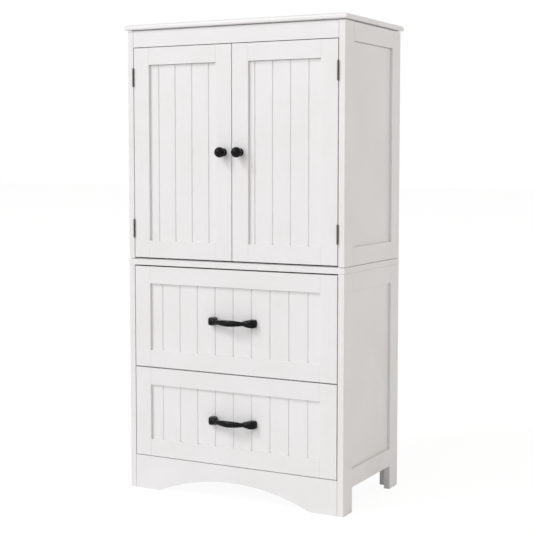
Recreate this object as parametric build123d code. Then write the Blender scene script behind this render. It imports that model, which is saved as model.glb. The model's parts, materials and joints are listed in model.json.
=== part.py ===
"""Tall painted cabinet: two panelled doors over two panelled drawers on an arched base.

Millimetres, +Z up, the front faces -Y. The pieces are drawn with y = 0 on the front plane of the
posts and are moved on export, so that the origin is the middle of the whole outline on the floor.
"""

import os

from build123d import *

# Carcass
body_width = 600.0
body_depth = 336.0
board = 16.0
reveal = 2.2
apron_height = 85.4
apron_gap = 1.6
lower_front_height = 226.3
drawer_gap = 2.8
upper_front_height = 255.2
drawer_top_gap = 3.2
door_low_gap = 3.6
door_height = 524.5
door_top_gap = 1.8
frieze_height = 40.1
top_overhang = 7.0
top_corner_round = 3.0
top_round_upper = 8.0
top_round_lower = 2.5
edge_ease = 0.6
joint_ease = 1.2

# Fine seams between the fixed boards
joint_gap = 0.45
seam_depth = 8.0
seam_under_top = 2.4
seam_over_middle = 1.2
seam_under_middle = 0.3

# Side frames
post_width = 51.0
side_rail_height = 44.0
leg_clearance = 60.0

# Thin panels and the grooves that hold them
panel_thickness = 5.0
panel_setback = 6.5
groove_depth = 7.0
tongue_length = 6.5
groove_play = 0.1

# Door and drawer frames, with V grooves cut in their panels
stile_width = 44.0
rail_height = 43.0
bead_width = 4.0
bead_depth = 2.4
door_bead_count = 4
door_bead_pitch = 48.0
right_door_bead_margin = 15.75
left_door_bead_margin = 22.75
drawer_bead_count = 9
drawer_bead_pitch = 51.0

# Arch in the apron
arch_foot = 71.0
arch_rise = 44.2
arch_toe_radius = 40.0

# Back
batten_width = 24.0
back_thickness = 5.0

# Shelf on pins
shelf_setback = 30.0
shelf_rear_gap = 4.0
shelf_side_gap = 2.0
pin_radius = 2.5
pin_depth = 9.0
pin_reach = 8.0
pin_pad_thickness = 1.6
pin_pad_width = 8.0
pin_row_spacing = 64.0
pin_front_setback = 38.0
pin_rear_setback = 12.0

# Butt hinges
hinge_length = 44.0
hinge_inset = 51.0
hinge_screw_shares = (0.25, 0.75)
barrel_radius = 2.05
barrel_clearance = 0.4
hinge_pin_radius = 1.0
hinge_pin_tip = 1.2
hinge_pin_dome = 0.9
leaf_gap = 0.5
leaf_depth = 14.0
knuckle_count = 5
knuckle_gap = 0.2
running_play = 0.05

# Fasteners
wood_screw_head_radius = 2.3
wood_screw_radius = 1.3
wood_screw_length = 12.0
machine_screw_radius = 2.0
machine_screw_head_radius = 4.0
machine_screw_head_height = 2.4
thread_depth = 10.0
screw_play = 0.05

# Knobs
knob_reach = 32.0
knob_ball_radius = 12.9
knob_base_radius = 9.75
knob_base_thickness = 3.0
knob_neck_radius = 5.5
knob_height = 264.0

# Pulls
pull_foot_spacing = 111.0
pull_foot_width = 21.0
pull_foot_height = 20.5
pull_foot_depth = 21.0
pull_elbow_round = 12.0
pull_foot_round = 4.0
pull_root_bury = 3.0
pull_root_reach = 16.0
pull_root_section = (17.0, 10.0)
pull_root_turn = 0.3
pull_neck_at = 39.0
pull_neck_reach = 19.8
pull_neck_section = (10.8, 10.0)
pull_shoulder_at = 22.0
pull_shoulder_reach = 24.6
pull_shoulder_section = (14.0, 10.6)
pull_shoulder_turn = 0.2
pull_middle_reach = 27.5
pull_middle_section = (15.8, 10.5)
pull_corner_share = 0.45
lower_pull_height = 108.6
upper_pull_height = 127.4

# Magnetic catch and its strikes
catch_width = 56.0
catch_depth = 15.0
catch_drop = 20.0
catch_lap = 18.0
strike_width = 22.0
strike_height = 14.0
strike_thickness = 1.0

# Drawer boxes on runners
runner_space = 12.5
runner_height = 36.0
runner_wall = 1.2
runner_play = 0.4
runner_end_gap = 3.0
runner_height_share = 0.4
box_board = 12.0
box_lift = 14.0
box_top_drop = 40.0
box_rear_gap = 15.0
box_bottom_thickness = 4.0
box_bottom_lift = 10.0
box_groove_depth = 5.0

# Levels and planes worked out from the sizes above
inner_half = body_width / 2 - board
lower_front_low = apron_height + apron_gap
lower_front_high = lower_front_low + lower_front_height
upper_front_low = lower_front_high + drawer_gap
upper_front_high = upper_front_low + upper_front_height
middle_low = upper_front_high + drawer_top_gap
middle_high = middle_low + board
door_low = middle_high + door_low_gap
door_high = door_low + door_height
frieze_low = door_high + door_top_gap
body_top = frieze_low + frieze_height
top_high = body_top + board
rear_post_front = body_depth - post_width
back_front = body_depth - back_thickness
batten_front = back_front - board
bottom_low = apron_height - board
arch_half_span = inner_half - arch_foot
panel_span = (panel_setback, panel_setback + panel_thickness)
groove_span = (panel_span[0] - groove_play, panel_span[1] + groove_play)
door_width = (2 * inner_half - 3 * reveal) / 2
door_outer = inner_half - reveal
door_inner = door_outer - door_width
drawer_half = inner_half - reveal
hinge_x = inner_half - reveal / 2
leaf_thickness = (reveal - leaf_gap) / 2
barrel_forward = barrel_radius + barrel_clearance
hinge_levels = (door_low + hinge_inset, door_high - hinge_inset - hinge_length)
knuckle_pitch = hinge_length / knuckle_count
knob_x = door_inner + stile_width / 2
knob_z = door_low + knob_height
shelf_low = (middle_high + body_top) / 2 - board
box_half = inner_half - runner_space
box_rear = batten_front - box_rear_gap
front_y = (knob_reach - body_depth - top_overhang) / 2


def slab(x, y, z):
    """Box between the low and high values given for each axis."""
    box = Box(x[1] - x[0], y[1] - y[0], z[1] - z[0], align=Align.MIN)
    return Pos(x[0], y[0], z[0]) * box


def eased(box, face_axis, pick=0):
    """Box with the four edges of one face rounded a little."""
    edges = box.faces().sort_by(face_axis)[pick].edges()
    return fillet(edges, edge_ease)


def other_side(shape):
    """Mirror image across the middle of the cabinet."""
    return mirror(shape, about=Plane.YZ)


def group(*shapes):
    """Separate solids kept together as one node."""
    return Compound([solid for shape in shapes for solid in shape.solids()])


def both_sides(*shapes):
    """The solids and their mirror images as one node."""
    return group(*shapes, *(other_side(shape) for shape in shapes))


def rod_x(radius, x, y, z):
    """Round bar along X between the two x values."""
    bar = Cylinder(radius, x[1] - x[0], align=(Align.CENTER, Align.CENTER, Align.MIN))
    return Pos(x[0], y, z) * Rot(0, 90, 0) * bar


def rod_y(radius, y, x, z):
    """Round bar along Y between the two y values."""
    bar = Cylinder(radius, y[1] - y[0], align=(Align.CENTER, Align.CENTER, Align.MIN))
    return Pos(x, y[0], z) * Rot(-90, 0, 0) * bar


def rod_z(radius, z, x, y):
    """Round bar along Z between the two z values."""
    bar = Cylinder(radius, z[1] - z[0], align=(Align.CENTER, Align.CENTER, Align.MIN))
    return Pos(x, y, z[0]) * bar


def footprint(z, inset):
    """Slab over the body's outline between two levels, drawn in on every side."""
    half = body_width / 2 - inset
    return slab((-half, half), (inset, body_depth - inset), z)


def top_board():
    """Overhanging top with a rounded edge, held off the body's outline by a shallow pad under it."""
    plate_low = body_top + seam_under_top
    blank = footprint((plate_low, top_high), -top_overhang)
    blank = fillet(blank.edges().filter_by(Axis.Z), top_corner_round)
    blank = fillet(blank.faces().sort_by(Axis.Z)[-1].edges(), top_round_upper)
    blank = fillet(blank.faces().sort_by(Axis.Z)[0].edges(), top_round_lower)
    return blank + footprint((body_top, plate_low), seam_depth)


def middle_board():
    """Board over the whole footprint between the two parts, its faces stepped back along the edges."""
    edge_z = (middle_low + seam_under_middle, middle_high - seam_over_middle)
    return footprint((middle_low, middle_high), seam_depth) + footprint(edge_z, 0)


def front_rail(z):
    """Rail between the front posts, its upright front edges rounded as the posts' are."""
    half = inner_half - joint_gap
    blank = slab((-half, half), (0, board), z)
    ends = blank.faces().sort_by(Axis.Y)[0].edges().filter_by(Axis.Z)
    return fillet(ends, joint_ease)


def frieze_rail():
    """Front rail above the doors."""
    return front_rail((frieze_low, body_top))


def front_apron():
    """Front rail on the floor with an arch cut in it, eased where the arch meets the floor."""
    blank = front_rail((0, apron_height))
    radius = (arch_half_span**2 + arch_rise**2) / (2 * arch_rise)
    blank -= rod_y(radius, (0, board), 0, arch_rise - radius)
    toes = blank.edges().filter_by(Axis.Y).filter_by(lambda e: abs(e.center().Z) < edge_ease)
    inner_toes = toes.sort_by(lambda e: abs(e.center().X))[:2]
    return fillet(inner_toes, arch_toe_radius)


def bottom_board():
    """Floor of the drawer part, notched round the rear battens."""
    blank = slab((-inner_half, inner_half), (board, back_front), (bottom_low, apron_height))
    notch_x = (inner_half - batten_width, inner_half)
    notch = slab(notch_x, (batten_front, back_front), (bottom_low, apron_height))
    return blank - notch - other_side(notch)


def post(y, z, groove_z, groove_side):
    """Right-hand post with a panel groove on the edge that faces the other post."""
    outer = body_width / 2
    blank = slab((inner_half, outer), y, z)
    blank = fillet(blank.edges().filter_by(Axis.Z), joint_ease)
    edge = y[1] if groove_side > 0 else y[0]
    groove_y = sorted((edge, edge - groove_side * groove_depth))
    return blank - slab((outer - groove_span[1], outer - groove_span[0]), groove_y, groove_z)


def pin_positions():
    """Front-to-back place of the shelf pins in the front post and in the rear post."""
    return (pin_front_setback, rear_post_front + pin_rear_setback)


def pin_levels():
    """Heights of the pin holes: the row that holds the shelf and one above and below it."""
    used = shelf_low - pin_pad_thickness - pin_radius
    return [used + step * pin_row_spacing for step in (-1, 0, 1)]


def hinge_screw_levels():
    """Heights of the two screws in each hinge leaf."""
    return [low + share * hinge_length for low in hinge_levels for share in hinge_screw_shares]


def upper_posts():
    """Front and rear right-hand posts of the door part, drilled for pins and hinge screws."""
    z = (middle_high, body_top)
    front = post((0, post_width), z, z, 1)
    rear = post((rear_post_front, body_depth), z, z, -1)
    hole_x = (inner_half, inner_half + pin_depth + screw_play)
    front_y_pin, rear_y_pin = pin_positions()
    for level in pin_levels():
        front -= rod_x(pin_radius + screw_play, hole_x, front_y_pin, level)
        rear -= rod_x(pin_radius + screw_play, hole_x, rear_y_pin, level)
    screw_x = (inner_half, inner_half + wood_screw_length)
    for level in hinge_screw_levels():
        front -= rod_x(wood_screw_radius + screw_play, screw_x, leaf_depth / 2, level)
    return front, rear


def lower_posts():
    """Front and rear right-hand posts of the drawer part, which run on as the legs."""
    z = (0, middle_low)
    groove_z = (leg_clearance, middle_low)
    front = post((0, post_width), z, groove_z, 1)
    rear = post((rear_post_front, body_depth), z, groove_z, -1)
    return front, rear


def side_rail(z_low, groove_at_top):
    """Right-hand side rail between two posts, with a tongue at each end and a panel groove."""
    outer = body_width / 2
    z = (z_low, z_low + side_rail_height)
    rail = eased(slab((inner_half, outer), (post_width, rear_post_front), z), Axis.X, -1)
    tongue_x = (outer - panel_span[1], outer - panel_span[0])
    tongue_y = (post_width - tongue_length, rear_post_front + tongue_length)
    rail += slab(tongue_x, tongue_y, z)
    edge = z[1] if groove_at_top else z[0]
    groove_z = sorted((edge, edge - groove_depth if groove_at_top else edge + groove_depth))
    return rail - slab((outer - groove_span[1], outer - groove_span[0]), tongue_y, groove_z)


def side_panel(low_rail, high_rail):
    """Right-hand flat panel held in the posts and in the two rails that start at these levels."""
    outer = body_width / 2
    x = (outer - panel_span[1], outer - panel_span[0])
    y = (post_width - tongue_length, rear_post_front + tongue_length)
    return slab(x, y, (low_rail + side_rail_height - tongue_length, high_rail + tongue_length))


def back_panel(z):
    """Thin back nailed on the battens, between the rear posts."""
    return slab((-inner_half, inner_half), (back_front, body_depth), z)


def rear_battens():
    """Upright strips inside the rear corners that carry the backs; the lower ones reach the floor."""
    x = (inner_half - batten_width, inner_half)
    y = (batten_front, back_front)
    return both_sides(slab(x, y, (0, middle_low)), slab(x, y, (middle_high, body_top)))


def shelf():
    """Loose shelf that rests on four pins."""
    half = inner_half - shelf_side_gap
    y = (shelf_setback, batten_front - shelf_rear_gap)
    return eased(slab((-half, half), y, (shelf_low, shelf_low + board)), Axis.Y)


def shelf_pins():
    """Four pins with a flat pad under the shelf."""
    level = pin_levels()[1]
    pins = []
    for y in pin_positions():
        stem = rod_x(pin_radius, (inner_half - pin_reach, inner_half + pin_depth), y, level)
        pad_x = (inner_half - pin_reach, inner_half)
        pad_y = (y - pin_pad_width / 2, y + pin_pad_width / 2)
        pins.append(stem + slab(pad_x, pad_y, (level, shelf_low)))
    return both_sides(*pins)


def framed_front(x, z, bead_centres):
    """Stiles, rails and V-grooved panel of one door or drawer front, flush with the posts."""
    y = (0, board)
    inner = (x[0] + stile_width, x[1] - stile_width)
    left = eased(slab((x[0], inner[0]), y, z), Axis.Y)
    right = eased(slab((inner[1], x[1]), y, z), Axis.Y)
    left -= slab((inner[0] - groove_depth, inner[0]), groove_span, z)
    right -= slab((inner[1], inner[1] + groove_depth), groove_span, z)
    tongue_x = (inner[0] - tongue_length, inner[1] + tongue_length)
    rails = []
    rail_levels = (z[0], z[1] - rail_height)
    groove_levels = (z[0] + rail_height - groove_depth, z[1] - rail_height)
    for low, groove_low in zip(rail_levels, groove_levels):
        rail = eased(slab(inner, y, (low, low + rail_height)), Axis.Y)
        rail += slab(tongue_x, panel_span, (low, low + rail_height))
        rail -= slab(tongue_x, groove_span, (groove_low, groove_low + groove_depth))
        rails.append(rail)
    panel_z = (z[0] + rail_height - tongue_length, z[1] - rail_height + tongue_length)
    panel = slab(tongue_x, panel_span, panel_z)
    for centre in bead_centres:
        panel -= bead_cutter(centre, panel_z)
    return group(left, right), group(*rails), panel


def bead_cutter(centre, z):
    """Upright prism that cuts one V groove in the front of a panel."""
    front = panel_span[0]
    section = Polyline(
        (centre - bead_width / 2, front, z[0]),
        (centre, front + bead_depth, z[0]),
        (centre + bead_width / 2, front, z[0]),
        close=True,
    )
    return extrude(make_face(section), amount=z[1] - z[0], dir=(0, 0, 1))


def bead_row(first, pitch, count):
    """Evenly spaced positions of the V grooves of one panel, from its leftmost groove on."""
    return [first + index * pitch for index in range(count)]


def countersunk_screw(x, y, z, play=0.0):
    """Wood screw along +X with its flat head ending at the given x plane."""
    head = Cone(
        wood_screw_head_radius + play,
        wood_screw_radius + play,
        leaf_thickness,
        align=(Align.CENTER, Align.CENTER, Align.MIN),
    )
    shank = rod_x(wood_screw_radius + play, (x + leaf_thickness, x + wood_screw_length), y, z)
    return Pos(x, y, z) * Rot(0, 90, 0) * head + shank


def hinge_leaf(z_low, on_post):
    """Right-hand hinge leaf with its own knuckles: odd ones for the post, even ones for the door."""
    if on_post:
        leaf_x = (inner_half - leaf_thickness, inner_half)
    else:
        leaf_x = (door_outer, door_outer + leaf_thickness)
    leaf = slab(leaf_x, (0, leaf_depth), (z_low, z_low + hinge_length))
    for index in range(0 if on_post else 1, knuckle_count, 2):
        low = z_low + index * knuckle_pitch + knuckle_gap / 2
        span = (low, low + knuckle_pitch - knuckle_gap)
        leaf += slab(leaf_x, (-barrel_forward, edge_ease), span)
        leaf += rod_z(barrel_radius, span, hinge_x, -barrel_forward)
    bore = hinge_pin_radius + running_play
    leaf -= rod_z(bore, (z_low, z_low + hinge_length), hinge_x, -barrel_forward)
    for share in hinge_screw_shares:
        z = z_low + share * hinge_length
        if on_post:
            leaf -= countersunk_screw(leaf_x[0], leaf_depth / 2, z, screw_play)
        else:
            leaf -= mirror(countersunk_screw(-leaf_x[1], leaf_depth / 2, z, screw_play), about=Plane.YZ)
    return leaf


def hinge_pin(z_low):
    """Right-hand hinge pin with a domed cap on each end of the barrel."""
    pin = rod_z(hinge_pin_radius, (z_low, z_low + hinge_length), hinge_x, -barrel_forward)
    for end, side in ((z_low, -1), (z_low + hinge_length, 1)):
        span = sorted((end, end + side * hinge_pin_tip))
        cap = rod_z(barrel_radius, span, hinge_x, -barrel_forward)
        rim = cap.faces().sort_by(Axis.Z)[0 if side < 0 else -1].edges()
        pin += fillet(rim, hinge_pin_dome)
    return pin


def hinge_frame_screws():
    """Screws that hold the post leaves."""
    x = inner_half - leaf_thickness
    return both_sides(*(countersunk_screw(x, leaf_depth / 2, z) for z in hinge_screw_levels()))


def machine_screw(x, z, head_y, tip_y):
    """Pan-head screw along Y, driven from behind so that its tip points to the front."""
    shank = rod_y(machine_screw_radius, (tip_y, head_y), x, z)
    head = rod_y(machine_screw_head_radius, (head_y, head_y + machine_screw_head_height), x, z)
    return shank + fillet(head.faces().sort_by(Axis.Y)[-1].edges(), machine_screw_head_height / 2)


def right_door(bead_margin):
    """Every piece of a right-hand door by name, its first groove this far from the inner stile."""
    x = (door_inner, door_outer)
    beads = bead_row(door_inner + stile_width + bead_margin, door_bead_pitch, door_bead_count)
    stiles, rails, panel = framed_front(x, (door_low, door_high), beads)
    stiles = group(stiles - rod_y(machine_screw_radius + screw_play, (0, board), knob_x, knob_z))
    screws = []
    for z in hinge_screw_levels():
        head_x = -(door_outer + leaf_thickness)
        screws.append(other_side(countersunk_screw(head_x, leaf_depth / 2, z)))
        stiles -= other_side(countersunk_screw(head_x, leaf_depth / 2, z, screw_play))
    screws.append(machine_screw(knob_x, knob_z, board, -thread_depth))
    strike_x = (door_inner + edge_ease, door_inner + edge_ease + strike_width)
    strike_z = (door_high - reveal - strike_height, door_high - reveal)
    return {
        "stiles": group(stiles),
        "rails": rails,
        "panel": panel,
        "knob": knob(),
        "hinge_leaves": group(*(hinge_leaf(z, False) for z in hinge_levels)),
        "screws": group(*screws),
        "strike_plate": slab(strike_x, (board, board + strike_thickness), strike_z),
    }


def knob():
    """Right-hand ball knob: a turned base, a neck and a ball, tapped from behind."""
    centre_y = knob_ball_radius - knob_reach
    base = rod_y(knob_base_radius, (-knob_base_thickness, 0), knob_x, knob_z)
    base = fillet(base.faces().sort_by(Axis.Y)[0].edges(), knob_base_thickness / 2)
    neck = rod_y(knob_neck_radius, (centre_y, 0), knob_x, knob_z)
    ball = Pos(knob_x, centre_y, knob_z) * Sphere(knob_ball_radius)
    tapped = rod_y(machine_screw_radius + screw_play, (-thread_depth - screw_play, 0), knob_x, knob_z)
    return base + neck + ball - tapped


def door_catch():
    """Magnetic catch for both doors, behind the frieze and just clear of the strikes."""
    half = catch_width / 2
    front = board + strike_thickness
    fixed = slab((-half, half), (board, board + catch_depth), (frieze_low, frieze_low + catch_lap))
    return fixed + slab((-half, half), (front, board + catch_depth), (frieze_low - catch_drop, frieze_low))


def pull_section(x, reach, turn, section):
    """Rounded section of a grip at one station, square to the bow and this far off the panel."""
    corner = min(section) * pull_corner_share
    plane = Plane(origin=(x, panel_setback - reach, 0), x_dir=(0, 0, 1), z_dir=Vector(1, turn, 0))
    return plane * RectangleRounded(*section, corner)


def pull_grip():
    """Bowed grip with a thick middle and thin necks, whose roots are buried in the feet."""
    root_at = (pull_foot_spacing - pull_foot_width) / 2 + pull_root_bury
    stations = (
        (root_at, pull_root_reach, pull_root_turn, pull_root_section),
        (pull_neck_at, pull_neck_reach, pull_root_turn, pull_neck_section),
        (pull_shoulder_at, pull_shoulder_reach, pull_shoulder_turn, pull_shoulder_section),
    )
    left = [pull_section(-x, reach, -turn, section) for x, reach, turn, section in stations]
    right = [pull_section(*station) for station in reversed(stations)]
    return loft([*left, pull_section(0, pull_middle_reach, 0, pull_middle_section), *right])


def pull_foot():
    """Right-hand foot of a pull: a block whose outer front corner is a wide round."""
    low_x = (pull_foot_spacing - pull_foot_width) / 2
    y = (panel_setback - pull_foot_depth, panel_setback)
    z = (-pull_foot_height / 2, pull_foot_height / 2)
    foot = slab((low_x, low_x + pull_foot_width), y, z)
    upright = foot.faces().sort_by(Axis.Y)[0].edges().filter_by(Axis.Z)
    foot = fillet(upright.sort_by(Axis.X)[-1], pull_elbow_round)
    ends = foot.faces().sort_by(Axis.Z)
    rim = [edge for end in (ends[0], ends[-1]) for edge in end.edges()]
    free_rim = [edge for edge in rim if edge.center().Y < panel_setback - edge_ease]
    return fillet(free_rim, pull_foot_round)


def pull(z):
    """Pull on the drawer panel: the grip on two feet, tapped from behind."""
    foot = pull_foot()
    tapped_y = (panel_setback - thread_depth - screw_play, panel_setback)
    tapped = rod_y(machine_screw_radius + screw_play, tapped_y, pull_foot_spacing / 2, 0)
    body = pull_grip() + foot + other_side(foot) - tapped - other_side(tapped)
    return Pos(0, 0, z) * body


def channel(x_web, x_lip, y, z_middle, height):
    """Thin channel along Y: an upright web at one x plane and two flanges that reach the other."""
    web_x = sorted((x_web, x_web + runner_wall * (1 if x_lip > x_web else -1)))
    flange_x = sorted((x_web, x_lip))
    z = (z_middle - height / 2, z_middle + height / 2)
    web = slab(web_x, y, z)
    low = slab(flange_x, y, (z[0], z[0] + runner_wall))
    high = slab(flange_x, y, (z[1] - runner_wall, z[1]))
    return web + low + high


def box_levels(front):
    """Bottom and top of the drawer box behind a front between these levels."""
    return (front[0] + box_lift, front[1] - box_top_drop)


def runner_level(front):
    """Middle height of the runners of a drawer whose front is between these levels."""
    low, high = box_levels(front)
    return low + (high - low) * runner_height_share


def cabinet_runner(front):
    """Right-hand runner channel screwed to the posts."""
    y = (board + runner_end_gap, batten_front - runner_end_gap)
    lip = box_half + runner_wall + runner_play
    return channel(inner_half, lip, y, runner_level(front), runner_height)


def drawer(front, pull_height):
    """Every piece of a drawer by name, for a front between these levels and a pull this far up it."""
    x = (-drawer_half, drawer_half)
    first_bead = -drawer_bead_pitch * (drawer_bead_count - 1) / 2
    beads = bead_row(first_bead, drawer_bead_pitch, drawer_bead_count)
    stiles, rails, panel = framed_front(x, front, beads)
    pull_z = front[0] + pull_height
    z = box_levels(front)
    inner = box_half - box_board
    groove_z = (z[0] + box_bottom_lift, z[0] + box_bottom_lift + box_bottom_thickness)
    ends_y = (board, box_rear - box_board)
    side = slab((inner, box_half), (board, box_rear), z)
    side -= slab((inner, inner + box_groove_depth), (board, box_rear), groove_z)
    ends = [slab((-inner, inner), (y, y + box_board), z) for y in ends_y]
    bottom_y = (board + box_board - box_groove_depth, box_rear - box_board + box_groove_depth)
    reach = inner + box_groove_depth - groove_play
    bottom_y_fit = (bottom_y[0] + groove_play, bottom_y[1] - groove_play)
    bottom = slab((-reach, reach), bottom_y_fit, groove_z)
    ends = [end - slab((-inner, inner), bottom_y, groove_z) for end in ends]
    screws = []
    for foot_x in (-pull_foot_spacing / 2, pull_foot_spacing / 2):
        hole = rod_y(machine_screw_radius + screw_play, (0, board + box_board), foot_x, pull_z)
        panel -= hole
        ends[0] -= hole
        screws.append(machine_screw(foot_x, pull_z, board + box_board, panel_setback - thread_depth))
    inner_height = runner_height - 2 * (runner_wall + runner_play)
    lip = inner_half - runner_wall - runner_play
    member = channel(box_half, lip, (board + runner_end_gap, box_rear), runner_level(front), inner_height)
    return {
        "front_stiles": stiles,
        "front_rails": rails,
        "front_panel": panel,
        "box_sides": both_sides(side),
        "box_ends": group(*ends),
        "box_bottom": bottom,
        "pull": pull(pull_z),
        "screws": group(*screws),
        "runners": both_sides(member),
    }


def carcass():
    """Every fixed piece by name."""
    upper_front, upper_rear = upper_posts()
    leg_front, leg_rear = lower_posts()
    upper_rails = (side_rail(middle_high, True), side_rail(body_top - side_rail_height, False))
    lower_rails = (side_rail(leg_clearance, True), side_rail(middle_low - side_rail_height, False))
    upper_panel = side_panel(middle_high, body_top - side_rail_height)
    lower_panel = side_panel(leg_clearance, middle_low - side_rail_height)
    lower_front = (lower_front_low, lower_front_high)
    upper_front_levels = (upper_front_low, upper_front_high)
    return {
        "top_board": top_board(),
        "frieze_rail": frieze_rail(),
        "middle_board": middle_board(),
        "front_apron": front_apron(),
        "bottom_board": bottom_board(),
        "upper_right_posts": group(upper_front, upper_rear),
        "upper_left_posts": group(other_side(upper_front), other_side(upper_rear)),
        "front_right_leg": leg_front,
        "rear_right_leg": leg_rear,
        "front_left_leg": other_side(leg_front),
        "rear_left_leg": other_side(leg_rear),
        "upper_side_rails": both_sides(*upper_rails),
        "lower_side_rails": both_sides(*lower_rails),
        "upper_right_side_panel": upper_panel,
        "upper_left_side_panel": other_side(upper_panel),
        "lower_right_side_panel": lower_panel,
        "lower_left_side_panel": other_side(lower_panel),
        "upper_back_panel": back_panel((middle_high, body_top)),
        "lower_back_panel": back_panel((bottom_low, middle_low)),
        "rear_battens": rear_battens(),
        "shelf": shelf(),
        "shelf_pins": shelf_pins(),
        "hinge_frame_leaves": both_sides(*(hinge_leaf(z, True) for z in hinge_levels)),
        "hinge_pins": both_sides(*(hinge_pin(z) for z in hinge_levels)),
        "hinge_frame_screws": hinge_frame_screws(),
        "door_catch": door_catch(),
        "cabinet_runners": both_sides(cabinet_runner(lower_front), cabinet_runner(upper_front_levels)),
    }


def main():
    """Build every node and write it."""
    nodes = carcass()
    for piece, shape in right_door(right_door_bead_margin).items():
        nodes["right_door_" + piece] = shape
    for piece, shape in right_door(left_door_bead_margin).items():
        nodes["left_door_" + piece] = other_side(shape)
    for name, levels, pull_height in (
        ("lower", (lower_front_low, lower_front_high), lower_pull_height),
        ("upper", (upper_front_low, upper_front_high), upper_pull_height),
    ):
        for piece, shape in drawer(levels, pull_height).items():
            nodes[name + "_drawer_" + piece] = shape
    os.makedirs("parts", exist_ok=True)
    for node, shape in nodes.items():
        export_step(Pos(0, front_y, 0) * shape, "parts/" + node + ".step")


main()
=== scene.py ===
"""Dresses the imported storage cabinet: painted boards, grooved panels, turned knobs and cast pulls.

Metres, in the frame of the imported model: +Z up, the front faces -Y. Every piece is worked out from
the box of the CAD node that it stands for, so it sits where the solids are.
"""

import json
import logging
import math
from dataclasses import dataclass
from enum import Enum

import bmesh
import bpy
import numpy as np
from mathutils import Matrix, Vector


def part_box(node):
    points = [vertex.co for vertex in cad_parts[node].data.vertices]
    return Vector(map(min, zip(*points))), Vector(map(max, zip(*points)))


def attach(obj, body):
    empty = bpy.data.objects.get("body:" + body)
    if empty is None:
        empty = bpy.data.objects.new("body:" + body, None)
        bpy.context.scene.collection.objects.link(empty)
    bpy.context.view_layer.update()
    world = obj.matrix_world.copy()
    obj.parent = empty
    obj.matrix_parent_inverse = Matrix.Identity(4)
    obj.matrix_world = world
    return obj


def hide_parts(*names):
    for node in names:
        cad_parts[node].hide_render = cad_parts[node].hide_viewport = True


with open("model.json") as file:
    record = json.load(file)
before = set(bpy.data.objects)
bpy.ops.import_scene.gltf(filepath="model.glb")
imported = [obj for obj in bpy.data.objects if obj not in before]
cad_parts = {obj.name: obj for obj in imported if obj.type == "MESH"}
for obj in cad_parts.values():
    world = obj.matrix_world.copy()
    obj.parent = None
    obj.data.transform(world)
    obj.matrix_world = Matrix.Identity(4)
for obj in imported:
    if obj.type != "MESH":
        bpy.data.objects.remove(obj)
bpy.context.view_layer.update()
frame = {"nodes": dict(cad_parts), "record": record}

log = logging.getLogger("cabinet")

MM = 0.001
FULL_TURN = 2 * math.pi
QUARTER_TURN = math.pi / 2
MERGE_DISTANCE = 0.001 * MM

# Width of the photograph, in which the focal length is given, and width of the camera's sensor.
PHOTO_PIXELS = 533
SENSOR_MM = 36.0

# The sRGB curve: a straight foot up to the knee, and a power above it.
SRGB_KNEE = 0.04045
SRGB_SLOPE = 12.92
SRGB_OFFSET = 0.055
SRGB_POWER = 2.4

# Detail of the two noises, and the part of their range that shows: the ends are seldom reached.
PATCH_DETAIL = 3.0
PATCH_ROUGHNESS = 0.55
GRAIN_DETAIL = 2.0
TONE_LIMITS = (0.35, 0.65)
SHADE_LIMITS = (0.3, 0.7)
GLOSS_LIMITS = (0.3, 0.7)

# Grooves of each front, and the distances from the outer ones to the left and the right stile.
DOOR_GROOVES = 4
DOOR_MARGINS = {
    "left_door": (25.95 * MM, 22.75 * MM),
    "right_door": (15.75 * MM, 32.95 * MM),
}
DRAWER_GROOVES = 9
DRAWER_MARGINS = (33.8 * MM, 33.8 * MM)

# A closed surface: its points, and the point numbers of each face.
Shell = tuple[np.ndarray, list[list[int]]]


class Slot(Enum):
    """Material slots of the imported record."""

    WHITE_PAINT = "white_paint"
    DRAWER_BOARD = "drawer_board"
    THIN_BOARD = "thin_board"
    BLACK_HARDWARE = "black_hardware"
    HINGE_METAL = "hinge_metal"
    SCREW_STEEL = "screw_steel"
    RUNNER_STEEL = "runner_steel"
    BRIGHT_STEEL = "bright_steel"
    CATCH_PLASTIC = "catch_plastic"


class Facing(Enum):
    """Which way a panel faces: axis across it, axis through it and sign of its outer side."""

    FRONT = (0, 1, -1)
    RIGHT = (1, 0, 1)
    LEFT = (1, 0, -1)


class Cap(Enum):
    """How the two ends of a tube of rings are closed."""

    POLE = "pole"
    STRIP = "strip"


def linear(colour: str) -> tuple[float, float, float, float]:
    """Turn an sRGB hex colour into linear light.

    Args:
        colour: Six hex digits after a hash.

    Returns:
        Red, green, blue and an alpha of one.
    """
    channels = np.array([int(colour[at : at + 2], 16) for at in (1, 3, 5)]) / 255.0
    dark = channels / SRGB_SLOPE
    light = ((channels + SRGB_OFFSET) / (1.0 + SRGB_OFFSET)) ** SRGB_POWER
    return (*np.where(channels <= SRGB_KNEE, dark, light).tolist(), 1.0)


def add(
    tree: bpy.types.NodeTree,
    kind: str,
    inputs: dict[str | int, object] | None = None,
    **settings: object,
) -> bpy.types.Node:
    """Add a shader node with its settings, values and links.

    Args:
        tree: The node tree that gets the node.
        kind: Blender's type name of the node.
        inputs: For each socket name or number, a value or the output socket to link.
        settings: Attributes of the node.

    Returns:
        The new node.
    """
    node = tree.nodes.new(kind)
    for name, value in settings.items():
        setattr(node, name, value)
    for socket, value in (inputs or {}).items():
        if isinstance(value, bpy.types.NodeSocket):
            tree.links.new(value, node.inputs[socket])
        else:
            node.inputs[socket].default_value = value
    return node


def per_metre(size_mm: float) -> float:
    """Texture scale that gives marks of this size in millimetres."""
    return 1.0 / (size_mm * MM)


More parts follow.
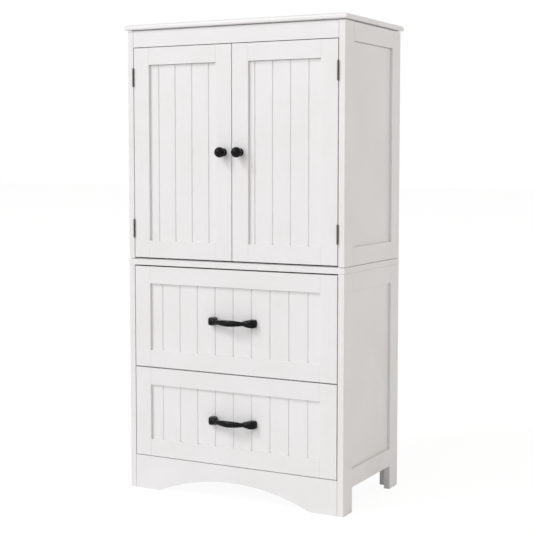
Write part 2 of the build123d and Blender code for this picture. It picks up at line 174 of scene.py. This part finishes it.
@dataclass(frozen=True)
class Finish:
    """A surface: two close colours in soft patches, a fine grain that lifts it, and its gloss.

    Patches and grain are noise on Object coordinates. The stretch squeezes the grain along each
    axis, so that a value well under one draws it out into streaks.
    """

    name: str
    colour: str
    patch_colour: str
    patch_mm: float
    grain_mm: float
    grain_height_mm: float
    roughness: tuple[float, float]
    grain_stretch: tuple[float, float, float] = (1.0, 1.0, 1.0)
    grain_shade: float = 0.0
    metallic: float = 0.0
    specular: float = 0.5

    def material(self) -> bpy.types.Material:
        """Build the node material.

        Returns:
            The material, or the one built before under the same name.
        """
        known = bpy.data.materials.get(self.name)
        if known:
            return known
        made = bpy.data.materials.new(self.name)
        made.use_nodes = True
        tree = made.node_tree
        tree.nodes.clear()
        place = add(tree, "ShaderNodeTexCoord").outputs["Object"]
        patches = add(
            tree,
            "ShaderNodeTexNoise",
            {
                "Vector": place,
                "Scale": per_metre(self.patch_mm),
                "Detail": PATCH_DETAIL,
                "Roughness": PATCH_ROUGHNESS,
            },
        )
        drawn = add(tree, "ShaderNodeMapping", {"Vector": place, "Scale": self.grain_stretch})
        grain = add(
            tree,
            "ShaderNodeTexNoise",
            {
                "Vector": drawn.outputs["Vector"],
                "Scale": per_metre(self.grain_mm),
                "Detail": GRAIN_DETAIL,
            },
        )
        share = add(
            tree,
            "ShaderNodeMapRange",
            {
                "Value": patches.outputs["Fac"],
                "From Min": TONE_LIMITS[0],
                "From Max": TONE_LIMITS[1],
            },
        )
        tone = add(
            tree,
            "ShaderNodeMix",
            {
                "Factor": share.outputs["Result"],
                "A": linear(self.colour),
                "B": linear(self.patch_colour),
            },
            data_type="RGBA",
        )
        colour = tone.outputs["Result"]
        if self.grain_shade:
            depth = add(
                tree,
                "ShaderNodeMapRange",
                {
                    "Value": grain.outputs["Fac"],
                    "From Min": SHADE_LIMITS[0],
                    "From Max": SHADE_LIMITS[1],
                    "To Min": 1.0 - self.grain_shade,
                    "To Max": 1.0,
                },
            )
            streaks = add(
                tree,
                "ShaderNodeMix",
                {"Factor": 1.0, "A": colour, "B": depth.outputs["Result"]},
                data_type="RGBA",
                blend_type="MULTIPLY",
            )
            colour = streaks.outputs["Result"]
        gloss = add(
            tree,
            "ShaderNodeMapRange",
            {
                "Value": patches.outputs["Fac"],
                "From Min": GLOSS_LIMITS[0],
                "From Max": GLOSS_LIMITS[1],
                "To Min": self.roughness[0],
                "To Max": self.roughness[1],
            },
        )
        lift = add(
            tree,
            "ShaderNodeBump",
            {
                "Height": grain.outputs["Fac"],
                "Strength": 1.0,
                "Distance": self.grain_height_mm * MM,
            },
        )
        shader = add(
            tree,
            "ShaderNodeBsdfPrincipled",
            {
                "Base Color": colour,
                "Roughness": gloss.outputs["Result"],
                "Metallic": self.metallic,
                "Specular IOR Level": self.specular,
                "Normal": lift.outputs["Normal"],
            },
        )
        add(tree, "ShaderNodeOutputMaterial", {"Surface": shader.outputs["BSDF"]})
        return made


# Most grain here is finer on the real surface. It is drawn coarser, so that it shows at all.
FINISHES = {
    # Sprayed satin paint on sanded board: even white, a soft sheen and a faint orange peel. The
    # peel is drawn at 5 mm, and the real one is 1 to 2 mm.
    Slot.WHITE_PAINT: Finish(
        name="sprayed_satin_paint",
        colour="#EFEEEF",
        patch_colour="#ECEBEA",
        patch_mm=160.0,
        grain_mm=5.0,
        grain_height_mm=0.03,
        roughness=(0.28, 0.38),
    ),
    # Printed foil pressed on board: a little duller and warmer than the paint, with pores along the
    # board.
    Slot.DRAWER_BOARD: Finish(
        name="pressed_white_foil",
        colour="#ECEBE8",
        patch_colour="#E7E5E1",
        patch_mm=90.0,
        grain_mm=2.5,
        grain_height_mm=0.05,
        roughness=(0.45, 0.58),
        grain_stretch=(1.0, 0.06, 1.0),
        grain_shade=0.02,
    ),
    # Thin hardboard with a white foil: the press screen behind it leaves a fine uneven surface.
    Slot.THIN_BOARD: Finish(
        name="foiled_hardboard",
        colour="#E8E7E3",
        patch_colour="#E4E3DF",
        patch_mm=70.0,
        grain_mm=3.0,
        grain_height_mm=0.08,
        roughness=(0.5, 0.66),
        grain_shade=0.025,
    ),
    # Cast zinc under black lacquer: nearly black, with small clear glints and the faint skin of the
    # mould.
    Slot.BLACK_HARDWARE: Finish(
        name="black_lacquered_casting",
        colour="#09090A",
        patch_colour="#0F0F10",
        patch_mm=9.0,
        grain_mm=2.2,
        grain_height_mm=0.008,
        roughness=(0.08, 0.14),
        specular=0.14,
    ),
    # Rolled steel with dark bronze plating: brown-grey metal with fine upright rolling lines.
    Slot.HINGE_METAL: Finish(
        name="bronze_plated_steel",
        colour="#6B6763",
        patch_colour="#575350",
        patch_mm=7.0,
        grain_mm=0.9,
        grain_height_mm=0.02,
        roughness=(0.34, 0.5),
        grain_stretch=(1.0, 1.0, 0.08),
        grain_shade=0.12,
        metallic=1.0,
    ),
    # Zinc-plated screws: bright blue-white metal, slightly cloudy.
    Slot.SCREW_STEEL: Finish(
        name="zinc_plated_screw",
        colour="#C3C5C8",
        patch_colour="#ABAEB2",
        patch_mm=2.5,
        grain_mm=0.8,
        grain_height_mm=0.01,
        roughness=(0.26, 0.42),
        metallic=1.0,
    ),
    # Roll-formed zinc-plated runners: drawn lines along the runner, cloudy crystals of the plating.
    Slot.RUNNER_STEEL: Finish(
        name="zinc_plated_runner",
        colour="#C9CBCD",
        patch_colour="#B4B7BA",
        patch_mm=14.0,
        grain_mm=0.9,
        grain_height_mm=0.012,
        roughness=(0.3, 0.46),
        grain_stretch=(1.0, 0.02, 1.0),
        grain_shade=0.06,
        metallic=1.0,
    ),
    # Nickel-plated pins and strikes: warm bright metal with a fine brushed lay.
    Slot.BRIGHT_STEEL: Finish(
        name="nickel_plated_steel",
        colour="#CFCCC6",
        patch_colour="#BFBBB4",
        patch_mm=5.0,
        grain_mm=0.7,
        grain_height_mm=0.008,
        roughness=(0.2, 0.32),
        grain_stretch=(0.08, 1.0, 1.0),
        grain_shade=0.05,
        metallic=1.0,
    ),
    # Moulded white plastic of the catch: matte, with a fine spark-eroded mould texture.
    Slot.CATCH_PLASTIC: Finish(
        name="moulded_white_plastic",
        colour="#EAE9E5",
        patch_colour="#E4E2DD",
        patch_mm=12.0,
        grain_mm=1.2,
        grain_height_mm=0.04,
        roughness=(0.48, 0.58),
    ),
}


def ring_faces(rows: int, columns: int) -> list[list[int]]:
    """Quads between neighbouring rings of a tube.

    Args:
        rows: Number of rings.
        columns: Points in each ring, which closes on itself.

    Returns:
        One list of four point numbers for each face.
    """
    row = np.arange(rows - 1)[:, None] * columns
    here = np.arange(columns)[None, :]
    after = (here + 1) % columns
    corners = [row + here, row + after, row + columns + after, row + columns + here]
    return np.stack(corners, axis=-1).reshape(-1, 4).tolist()


def tube(rings: np.ndarray, cap: Cap) -> Shell:
    """Close a stack of rings into one shell.

    A pole cap joins the end ring to a point in its middle. A strip cap suits a flat ring whose
    second half runs back along its first: each point is joined to the one that faces it.

    Args:
        rings: Points as rows, columns and coordinates.
        cap: How both ends are closed.

    Returns:
        The points and the faces.
    """
    rows, columns, _ = rings.shape
    points = rings.reshape(-1, 3)
    faces = ring_faces(rows, columns)
    last = (rows - 1) * columns
    if cap is Cap.POLE:
        points = np.vstack([points, rings[0].mean(axis=0), rings[-1].mean(axis=0)])
        here = np.arange(columns)
        after = (here + 1) % columns
        ends = ((0, after, here, rows * columns), (last, here, after, rows * columns + 1))
        for start, first, second, pole in ends:
            fan = np.stack([start + first, start + second, np.full(columns, pole)], axis=-1)
            faces += fan.tolist()
        return points, faces
    near = np.arange(columns // 2 - 1)
    far = columns - 1 - near
    strip = np.stack([near, far, far - 1, near + 1], axis=-1)
    faces += strip.tolist()
    faces += (last + strip[:, ::-1]).tolist()
    return points, faces


def mend(mesh: bpy.types.Mesh) -> None:
    """Merge the doubled points of a closed shell and turn its faces outwards.

    Args:
        mesh: The mesh, which is changed.
    """
    shell = bmesh.new()
    shell.from_mesh(mesh)
    bmesh.ops.remove_doubles(shell, verts=shell.verts[:], dist=MERGE_DISTANCE)
    bmesh.ops.recalc_face_normals(shell, faces=shell.faces[:])
    shell.to_mesh(mesh)
    shell.free()


def make_piece(
    name: str, shell: Shell, slot: Slot, body: str, crease: float
) -> bpy.types.Object:
    """Make an object from a closed shell, dress it and let it ride on a body.

    Args:
        name: The piece's name.
        shell: Points and faces.
        slot: The material slot that gives the finish.
        body: The CAD body that carries the piece.
        crease: Angle in degrees from which an edge stays sharp.

    Returns:
        The object, at the origin.
    """
    points, faces = shell
    mesh = bpy.data.meshes.new(name)
    mesh.from_pydata(points.tolist(), [], faces)
    mend(mesh)
    mesh.shade_smooth()
    mesh.set_sharp_from_angle(angle=math.radians(crease))
    mesh.materials.append(FINISHES[slot].material())
    piece = bpy.data.objects.new(name, mesh)
    bpy.context.scene.collection.objects.link(piece)
    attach(piece, body)
    log.info("%s: %d points on %s", name, len(mesh.vertices), body)
    return piece


@dataclass(frozen=True)
class TurnedKnob:
    """Ball knob turned with its round base, on a door."""

    node: str
    body: str
    base_radius: float = 9.75 * MM
    base_thickness: float = 3.0 * MM
    base_round: float = 1.6 * MM
    neck_radius: float = 5.5 * MM
    cove: float = 4.0 * MM
    arc_points: int = 9
    ball_points: int = 40
    pole_angle: float = 0.02
    columns: int = 72
    crease: float = 50.0

    def profile(self, ball: float, reach: float) -> tuple[np.ndarray, np.ndarray]:
        """Outline from the door to the front of the ball.

        The base ends in a quarter round, a quarter ellipse hollows it into the neck, and the ball
        is a circle from where it meets the neck to a small angle short of its front, where the cap
        closes it.

        Args:
            ball: Radius of the ball.
            reach: Distance from the door to the front of the ball.

        Returns:
            Distances from the door and radii.
        """
        turn = np.linspace(0.0, QUARTER_TURN, self.arc_points)
        rim = self.base_radius - self.base_round
        edge_out = self.base_thickness - self.base_round + self.base_round * np.sin(turn)
        edge_radius = rim + self.base_round * np.cos(turn)
        cove_out = self.base_thickness + self.cove * (1.0 - np.cos(turn[1:]))
        cove_radius = self.neck_radius + (rim - self.neck_radius) * (1.0 - np.sin(turn[1:]))
        meet = math.asin(self.neck_radius / ball)
        arc = np.linspace(meet, math.pi - self.pole_angle, self.ball_points)
        ball_out = reach - ball - ball * np.cos(arc)
        ball_radius = ball * np.sin(arc)
        out = np.concatenate([[0.0], edge_out, cove_out, ball_out])
        radius = np.concatenate([[self.base_radius], edge_radius, cove_radius, ball_radius])
        return out, radius

    def build(self) -> bpy.types.Object:
        """Turn the profile about the knob's axis and put it in the node's place.

        Returns:
            The knob.
        """
        low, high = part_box(self.node)
        out, radius = self.profile((high.z - low.z) / 2, high.y - low.y)
        angle = np.linspace(0.0, FULL_TURN, self.columns, endpoint=False)
        middle = (low + high) / 2
        x = middle.x + radius[:, None] * np.cos(angle)
        y = np.broadcast_to(high.y - out[:, None], x.shape)
        z = middle.z + radius[:, None] * np.sin(angle)
        shell = tube(np.stack([x, y, z], axis=-1), Cap.POLE)
        name = self.node + "_turned"
        knob = make_piece(name, shell, Slot.BLACK_HARDWARE, self.body, self.crease)
        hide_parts(self.node)
        return knob


@dataclass(frozen=True)
class CastPull:
    """Bowed pull on a drawer: an elbow at each end, thin necks and a grip thick in the middle."""

    node: str
    body: str
    foot_width: float = 21.0 * MM
    elbow_round: float = 13.0 * MM
    elbow_power: float = 0.85
    elbow_reach: float = 21.0 * MM
    hollow_round: float = 11.0 * MM
    hollow_reach: float = 13.5 * MM
    middle_depth: float = 10.5 * MM
    neck_at: float = 39.5 * MM
    full_at: float = 12.0 * MM
    neck_height: float = 10.2 * MM
    middle_height: float = 15.8 * MM
    grip_square: float = 2.6
    foot_square: float = 4.2
    rows: int = 44
    straight_rows: int = 11
    columns: int = 48
    crease: float = 60.0

    def rails(self, half: float, reach: float) -> tuple[np.ndarray, np.ndarray]:
        """Front and back edge of half the pull seen from above, from the drawer to the middle.

        The front edge turns an elbow from the drawer: a quarter ellipse whose cosine and sine are
        raised to a power under one, which makes it squarer. Then it bows out to the middle as the
        square of one minus the squared share of the way. The back edge runs straight out, turns a
        quarter circle and follows the bow.

        Args:
            half: Half the pull's length.
            reach: Distance from the drawer to the front of the grip's middle.

        Returns:
            Two arrays of distance from the pull's middle and distance from the drawer.
        """
        turn = np.linspace(0.0, QUARTER_TURN, self.rows)
        bow = np.linspace(1.0, 0.0, self.rows)[1:]
        rise = (1.0 - bow**2) ** 2
        corner = half - self.elbow_round
        elbow_along = corner + self.elbow_round * np.cos(turn) ** self.elbow_power
        elbow_out = self.elbow_reach * np.sin(turn) ** self.elbow_power
        bow_out = self.elbow_reach + (reach - self.elbow_reach) * rise
        front = np.column_stack(
            [
                np.concatenate([elbow_along, corner * bow]),
                np.concatenate([elbow_out, bow_out]),
            ]
        )
        inner = half - self.foot_width - self.hollow_round
        straight = np.linspace(0.0, self.hollow_reach - self.hollow_round, self.straight_rows)
        wall = np.full(self.straight_rows, inner + self.hollow_round)
        arc = np.linspace(0.0, QUARTER_TURN, self.rows - self.straight_rows)
        hollow_along = inner + self.hollow_round * np.cos(arc)
        hollow_out = straight[-1] + self.hollow_round * np.sin(arc)
        depth = reach - self.middle_depth - self.hollow_reach
        back = np.column_stack(
            [
                np.concatenate([wall, hollow_along, inner * bow]),
                np.concatenate([straight, hollow_out, self.hollow_reach + depth * rise]),
            ]
        )
        return front, back

    def flare(self, front: np.ndarray) -> np.ndarray:
        """How far each section has widened from the neck to the foot.

        A half cosine of the way along the front edge, nought from the middle to the neck and one
        near the drawer.

        Args:
            front: The front edge from the drawer to the middle.

        Returns:
            Shares from nought to one.
        """
        steps = np.hypot(*np.diff(front, axis=0).T)
        way = np.concatenate([[0.0], np.cumsum(steps)])
        neck = way[np.argmax(front[:, 0] < self.neck_at)]
        left = np.clip((neck - way) / (neck - self.full_at), 0.0, 1.0)
        return (1.0 - np.cos(math.pi * left)) / 2

    def height(self, along: np.ndarray, flare: np.ndarray, foot: float) -> np.ndarray:
        """Height of the section: a parabola from the thick middle to the neck, then the flare adds.

        Args:
            along: Distances from the middle.
            flare: Share of the widening from the neck to the foot.
            foot: Height of the foot.

        Returns:
            The heights.
        """
        swell = np.clip(along / self.neck_at, 0.0, 1.0)
        grip = self.neck_height + (self.middle_height - self.neck_height) * (1.0 - swell**2)
        return grip + (foot - self.neck_height) * flare

    def build(self) -> bpy.types.Object:
        """Carry a rounded section between the two edges and mirror it for the other half.

        The section is a superellipse: its half width goes from the back edge to the front edge, and
        its half height is upright. It is squarer at the feet than in the grip.

        Returns:
            The pull.
        """
        low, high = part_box(self.node)
        front, back = self.rails((high.x - low.x) / 2, high.y - low.y)
        centre = (front + back) / 2
        half_width = (front - back) / 2
        flare = self.flare(front)
        half_height = self.height(front[:, 0], flare, high.z - low.z) / 2
        square = self.grip_square + (self.foot_square - self.grip_square) * flare
        angle = np.linspace(0.0, FULL_TURN, self.columns, endpoint=False)
        power = 2.0 / square[:, None]
        across = np.sign(np.cos(angle)) * np.abs(np.cos(angle)) ** power
        upward = np.sign(np.sin(angle)) * np.abs(np.sin(angle)) ** power
        x = centre[:, :1] + half_width[:, :1] * across
        y = high.y - (centre[:, 1:] + half_width[:, 1:] * across)
        z = (low.z + high.z) / 2 + half_height[:, None] * upward
        half = np.stack([-x, y, z], axis=-1)
        other = half[-2::-1] * (-1.0, 1.0, 1.0)
        rings = np.concatenate([half, other]) + ((low.x + high.x) / 2, 0.0, 0.0)
        name = self.node + "_cast"
        shell = tube(rings, Cap.POLE)
        pull = make_piece(name, shell, Slot.BLACK_HARDWARE, self.body, self.crease)
        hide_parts(self.node)
        return pull


@dataclass(frozen=True)
class SunkPanel:
    """Thin panel sunk in a frame, plain or with painted V grooves in its face.

    Its upper tongue is rebated, and the sloped shoulder stands a hair under the rail.
    """

    node: str
    body: str
    facing: Facing
    groove_count: int = 0
    groove_margin: tuple[float, float] = (0.0, 0.0)
    tongue: float = 6.5 * MM
    hairline: float = 0.8 * MM
    rebate: float = 2.5 * MM
    shoulder_rise: float = 0.3 * MM
    groove_width: float = 4.2 * MM
    groove_depth: float = 2.9 * MM
    groove_reach: float = 1.6
    groove_points: int = 25
    corner_softness: float = 0.12
    crease: float = 40.0

    def face(self, low: float, high: float) -> tuple[np.ndarray, np.ndarray]:
        """Outline of the panel's face across its width.

        Each groove is a V whose bottom and lips are rounded by the paint: one minus the distance
        from its middle in half widths, with a hyperbola in place of each corner.

        Args:
            low: One edge of the panel.
            high: The other edge.

        Returns:
            Distances across the width and depths below the face.
        """
        first = low + self.tongue + self.groove_margin[0]
        last = high - self.tongue - self.groove_margin[1]
        middles = np.linspace(first, last, self.groove_count)
        share = np.linspace(-self.groove_reach, self.groove_reach, self.groove_points)
        wall = 1.0 - np.sqrt(share**2 + self.corner_softness**2)
        notch = (wall + np.sqrt(wall**2 + self.corner_softness**2)) / 2
        across = middles[:, None] + share * self.groove_width / 2
        depth = np.broadcast_to(notch * self.groove_depth, across.shape)
        places = np.concatenate([[low], across.ravel(), [high]])
        return places, np.concatenate([[0.0], depth.ravel(), [0.0]])

    def build(self) -> bpy.types.Object:
        """Carry the outline up the panel, set back by the rebate above the shoulder.

        Returns:
            The panel.
        """
        across_axis, through_axis, sign = self.facing.value
        low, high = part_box(self.node)
        outer, inner = (high, low) if sign > 0 else (low, high)
        across, depth = self.face(low[across_axis], high[across_axis])
        shoulder = high.z - self.tongue - self.hairline
        levels = np.array([low.z, shoulder, shoulder + self.shoulder_rise, high.z])
        set_back = np.array([0.0, 0.0, self.rebate, self.rebate])
        front = outer[through_axis] - sign * np.maximum(depth, set_back[:, None])
        rings = np.empty((len(levels), 2 * len(across), 3))
        rings[..., across_axis] = np.concatenate([across, across[::-1]])
        rings[..., through_axis] = np.hstack([front, np.full(front.shape, inner[through_axis])])
        rings[..., 2] = levels[:, None]
        name = self.node + ("_grooved" if self.groove_count else "_rebated")
        shell = tube(rings, Cap.STRIP)
        panel = make_piece(name, shell, Slot.WHITE_PAINT, self.body, self.crease)
        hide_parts(self.node)
        return panel


@dataclass(frozen=True)
class RoundedTop:
    """Overhanging top board with a rounded edge all round."""

    node: str = "top_board"
    body: str = "carcass"
    corner_round: float = 3.0 * MM
    upper_round: float = 8.0 * MM
    lower_round: float = 2.5 * MM
    pad_inset: float = 15.0 * MM
    pad_height: float = 2.9 * MM
    arc_points: int = 10
    crease: float = 40.0

    def edge(self, thickness: float) -> tuple[np.ndarray, np.ndarray]:
        """Edge profile from the pad under the board to its top: a step, then two quarter rounds.

        Args:
            thickness: Thickness of the board.

        Returns:
            Distances in from the outline and heights above the foot of the pad.
        """
        turn = np.linspace(0.0, QUARTER_TURN, self.arc_points)
        pad = np.full(2, self.pad_inset)
        lower = self.lower_round * (1.0 - np.sin(turn))
        upper = self.upper_round * (1.0 - np.cos(turn))
        pad_level = np.array([0.0, self.pad_height])
        lower_level = self.pad_height + self.lower_round * (1.0 - np.cos(turn))
        upper_level = thickness - self.upper_round + self.upper_round * np.sin(turn)
        inset = np.concatenate([pad, lower, upper])
        return inset, np.concatenate([pad_level, lower_level, upper_level])

    def build(self) -> bpy.types.Object:
        """Carry the edge profile round a rectangle with rounded corners.

        At an inset the outline is the rectangle of the corner centres moved out by the corner
        radius less the inset. Past that radius the corners are square.

        Returns:
            The top board.
        """
        low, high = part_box(self.node)
        inset, level = self.edge(high.z - low.z)
        turn = np.linspace(0.0, QUARTER_TURN, self.arc_points)
        angle = (np.arange(4)[:, None] * QUARTER_TURN + turn).ravel()
        corner_x = np.repeat([high.x, low.x, low.x, high.x], self.arc_points)
        corner_y = np.repeat([high.y, high.y, low.y, low.y], self.arc_points)
        inward_x = np.repeat([-1.0, 1.0, 1.0, -1.0], self.arc_points)
        inward_y = np.repeat([-1.0, -1.0, 1.0, 1.0], self.arc_points)
        inward = np.maximum(self.corner_round, inset)[:, None]
        radius = inward - inset[:, None]
        x = corner_x + inward * inward_x + radius * np.cos(angle)
        y = corner_y + inward * inward_y + radius * np.sin(angle)
        z = np.broadcast_to(low.z + level[:, None], x.shape)
        shell = tube(np.stack([x, y, z], axis=-1), Cap.POLE)
        name = self.node + "_rounded"
        top = make_piece(name, shell, Slot.WHITE_PAINT, self.body, self.crease)
        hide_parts(self.node)
        return top


@dataclass(frozen=True)
class BackNails:
    """Round nail heads along the two upright edges of a back panel."""

    node: str
    body: str = "carcass"
    edge: float = 12.0 * MM
    end: float = 26.0 * MM
    spacing: float = 66.0 * MM
    head_radius: float = 2.4 * MM
    head_height: float = 0.7 * MM
    ring_radii: tuple[float, ...] = (1.0, 1.0, 0.7, 0.35)
    ring_heights: tuple[float, ...] = (0.0, 0.3, 0.65, 0.92)
    columns: int = 12
    crease: float = 50.0

    def build(self) -> bpy.types.Object:
        """Repeat one head along both edges: a low rim under a dome.

        The dome falls about as the square of the distance from its middle.

        Returns:
            All heads of the panel as one piece.
        """
        low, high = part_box(self.node)
        count = 1 + round((high.z - low.z - 2 * self.end) / self.spacing)
        levels = np.linspace(low.z + self.end, high.z - self.end, count)
        sides = np.array([low.x + self.edge, high.x - self.edge])
        side, level = np.meshgrid(sides, levels)
        radius = self.head_radius * np.array(self.ring_radii)[:, None]
        rise = self.head_height * np.array(self.ring_heights)[:, None]
        angle = np.linspace(0.0, FULL_TURN, self.columns, endpoint=False)
        x = radius * np.cos(angle)
        z = radius * np.sin(angle)
        y = np.broadcast_to(rise, x.shape)
        points, faces = tube(np.stack([x, y, z], axis=-1), Cap.POLE)
        places = np.column_stack([side.ravel(), np.full(side.size, high.y), level.ravel()])
        everywhere = (places[:, None, :] + points).reshape(-1, 3)
        starts = np.arange(len(places))[:, None, None] * len(points)
        repeated = []
        for corners in (4, 3):
            alike = np.array([face for face in faces if len(face) == corners])
            repeated += (starts + alike).reshape(-1, corners).tolist()
        shell = (everywhere, repeated)
        name = self.node + "_nails"
        return make_piece(name, shell, Slot.SCREW_STEEL, self.body, self.crease)


@dataclass(frozen=True)
class Softbox:
    """Square soft lamp aimed at the middle of the cabinet, far enough off to light it evenly."""

    name: str
    colour: str
    power: float
    size: float
    direction: tuple[float, float, float]
    distance: float
    aim: tuple[float, float, float] = (0.0, 0.0, 0.6)

    def hang(self) -> None:
        """Hang the lamp at its distance, in its direction from the aim."""
        lamp = bpy.data.lights.new(self.name, "AREA")
        lamp.energy = self.power
        lamp.color = linear(self.colour)[:3]
        lamp.size = self.size
        softbox = bpy.data.objects.new(self.name, lamp)
        direction = Vector(self.direction).normalized()
        softbox.location = Vector(self.aim) + direction * self.distance
        softbox.rotation_euler = direction.to_track_quat("Z", "Y").to_euler()
        bpy.context.scene.collection.objects.link(softbox)


@dataclass(frozen=True)
class Studio:
    """Pale floor, soft light and the camera at the photograph's viewing angle."""

    floor_size: float = 60.0
    floor_colour: str = "#ECECEC"
    floor_seen_colour: str = "#5E5E5E"
    floor_seen_glow: float = 0.93
    ambient_colour: str = "#FFFCF8"
    ambient_strength: float = 0.455
    backdrop_colour: str = "#FFFFFF"
    backdrop_strength: float = 1.0
    key: Softbox = Softbox(
        name="key_softbox",
        colour="#FBFCFF",
        power=2040.0,
        size=6.0,
        direction=(-0.45, -0.56, 0.7),
        distance=28.0,
    )
    panel: Softbox = Softbox(
        name="large_panel",
        colour="#FBFCFF",
        power=2800.0,
        size=24.0,
        direction=(-0.36, -0.83, 0.43),
        distance=28.0,
    )
    fill: Softbox = Softbox(
        name="fill_softbox",
        colour="#FFF3EA",
        power=54.0,
        size=4.0,
        direction=(0.95, 0.25, 0.35),
        distance=6.0,
    )
    camera_place: tuple[float, float, float] = (1.485385, -2.764984, 0.84449)
    camera_yaw: float = 28.043
    camera_pitch: float = 4.276
    camera_focal_pixels: float = 1237.749
    camera_shift: float = -0.03

    def seen_directly(self, tree: bpy.types.NodeTree) -> bpy.types.NodeSocket:
        """Tell what the camera, a mirror or glass shows from what only lights the object.

        Args:
            tree: The node tree that gets the nodes.

        Returns:
            A socket that is one for what is shown and nought for light.
        """
        path = add(tree, "ShaderNodeLightPath")
        mirror = add(
            tree,
            "ShaderNodeMath",
            {0: path.outputs["Is Camera Ray"], 1: path.outputs["Is Glossy Ray"]},
            operation="MAXIMUM",
        )
        glass = add(
            tree,
            "ShaderNodeMath",
            {0: mirror.outputs["Value"], 1: path.outputs["Is Transmission Ray"]},
            operation="MAXIMUM",
        )
        return glass.outputs["Value"]

    def floor_material(self) -> bpy.types.Material:
        """Matt white floor paper: it lights the object and is seen as white with the shadow on it.

        Returns:
            The material.
        """
        made = bpy.data.materials.new("matt_white_paper")
        made.use_nodes = True
        tree = made.node_tree
        tree.nodes.clear()
        seen = self.seen_directly(tree)
        colour = add(
            tree,
            "ShaderNodeMix",
            {
                "Factor": seen,
                "A": linear(self.floor_colour),
                "B": linear(self.floor_seen_colour),
            },
            data_type="RGBA",
        )
        glow = add(
            tree, "ShaderNodeMath", {0: seen, 1: self.floor_seen_glow}, operation="MULTIPLY"
        )
        paper = add(tree, "ShaderNodeBsdfDiffuse", {"Color": colour.outputs["Result"]})
        light = add(tree, "ShaderNodeEmission", {"Strength": glow.outputs["Value"]})
        both = add(
            tree, "ShaderNodeAddShader", {0: paper.outputs["BSDF"], 1: light.outputs["Emission"]}
        )
        add(tree, "ShaderNodeOutputMaterial", {"Surface": both.outputs["Shader"]})
        return made

    def lay_floor(self) -> None:
        """Lay one large square of paper at floor level."""
        half = self.floor_size / 2
        corners = [
            (-half, -half, 0.0),
            (half, -half, 0.0),
            (half, half, 0.0),
            (-half, half, 0.0),
        ]
        mesh = bpy.data.meshes.new("floor_paper")
        mesh.from_pydata(corners, [], [(0, 1, 2, 3)])
        mesh.materials.append(self.floor_material())
        floor = bpy.data.objects.new("floor_paper", mesh)
        bpy.context.scene.collection.objects.link(floor)

    def light_world(self) -> None:
        """Even soft light all round, seen by the camera as a white backdrop."""
        world = bpy.data.worlds.new("white_backdrop")
        world.use_nodes = True
        tree = world.node_tree
        tree.nodes.clear()
        light = add(
            tree,
            "ShaderNodeBackground",
            {"Color": linear(self.ambient_colour), "Strength": self.ambient_strength},
        )
        backdrop = add(
            tree,
            "ShaderNodeBackground",
            {"Color": linear(self.backdrop_colour), "Strength": self.backdrop_strength},
        )
        both = add(
            tree,
            "ShaderNodeMixShader",
            {
                0: self.seen_directly(tree),
                1: light.outputs["Background"],
                2: backdrop.outputs["Background"],
            },
        )
        add(tree, "ShaderNodeOutputWorld", {"Surface": both.outputs["Shader"]})
        bpy.context.scene.world = world

    def set_camera(self) -> None:
        """Stand the camera right of the front, turned and tipped as fitted to the photograph."""
        data = bpy.data.cameras.new("camera")
        data.sensor_width = SENSOR_MM
        data.lens = self.camera_focal_pixels / PHOTO_PIXELS * SENSOR_MM
        data.shift_y = self.camera_shift
        camera = bpy.data.objects.new("camera", data)
        upright = Matrix.Rotation(QUARTER_TURN - math.radians(self.camera_pitch), 4, "X")
        turned = Matrix.Rotation(math.radians(self.camera_yaw), 4, "Z") @ upright
        camera.matrix_world = Matrix.Translation(self.camera_place) @ turned
        bpy.context.scene.collection.objects.link(camera)
        bpy.context.scene.camera = camera

    def build(self) -> None:
        """Set up the floor, the light and the camera."""
        self.lay_floor()
        self.light_world()
        self.key.hang()
        self.panel.hang()
        self.fill.hang()
        self.set_camera()
        bpy.context.scene.view_settings.view_transform = "Standard"


def dress_nodes() -> None:
    """Give every CAD node that stays the finish of its material slot."""
    for row in frame["record"]["subparts"]:
        mesh = frame["nodes"][row["node"]].data
        mesh.materials.clear()
        mesh.materials.append(FINISHES[Slot(row["material_slot"])].material())
        log.info("%s: %s", row["node"], row["material_slot"])


def main() -> None:
    """Build the studio, dress the CAD nodes and make the detailed pieces."""
    logging.basicConfig(level=logging.INFO, format="%(message)s")
    Studio().build()
    dress_nodes()
    RoundedTop().build()
    for door, margins in DOOR_MARGINS.items():
        SunkPanel(door + "_panel", door, Facing.FRONT, DOOR_GROOVES, margins).build()
        TurnedKnob(door + "_knob", door).build()
    for drawer in ("upper_drawer", "lower_drawer"):
        name = drawer + "_front_panel"
        SunkPanel(name, drawer, Facing.FRONT, DRAWER_GROOVES, DRAWER_MARGINS).build()
        CastPull(drawer + "_pull", drawer).build()
    for level in ("upper", "lower"):
        SunkPanel(level + "_right_side_panel", "carcass", Facing.RIGHT).build()
        SunkPanel(level + "_left_side_panel", "carcass", Facing.LEFT).build()
    for panel in ("upper_back_panel", "lower_back_panel"):
        BackNails(panel).build()


if __name__ == "__main__":
    main()
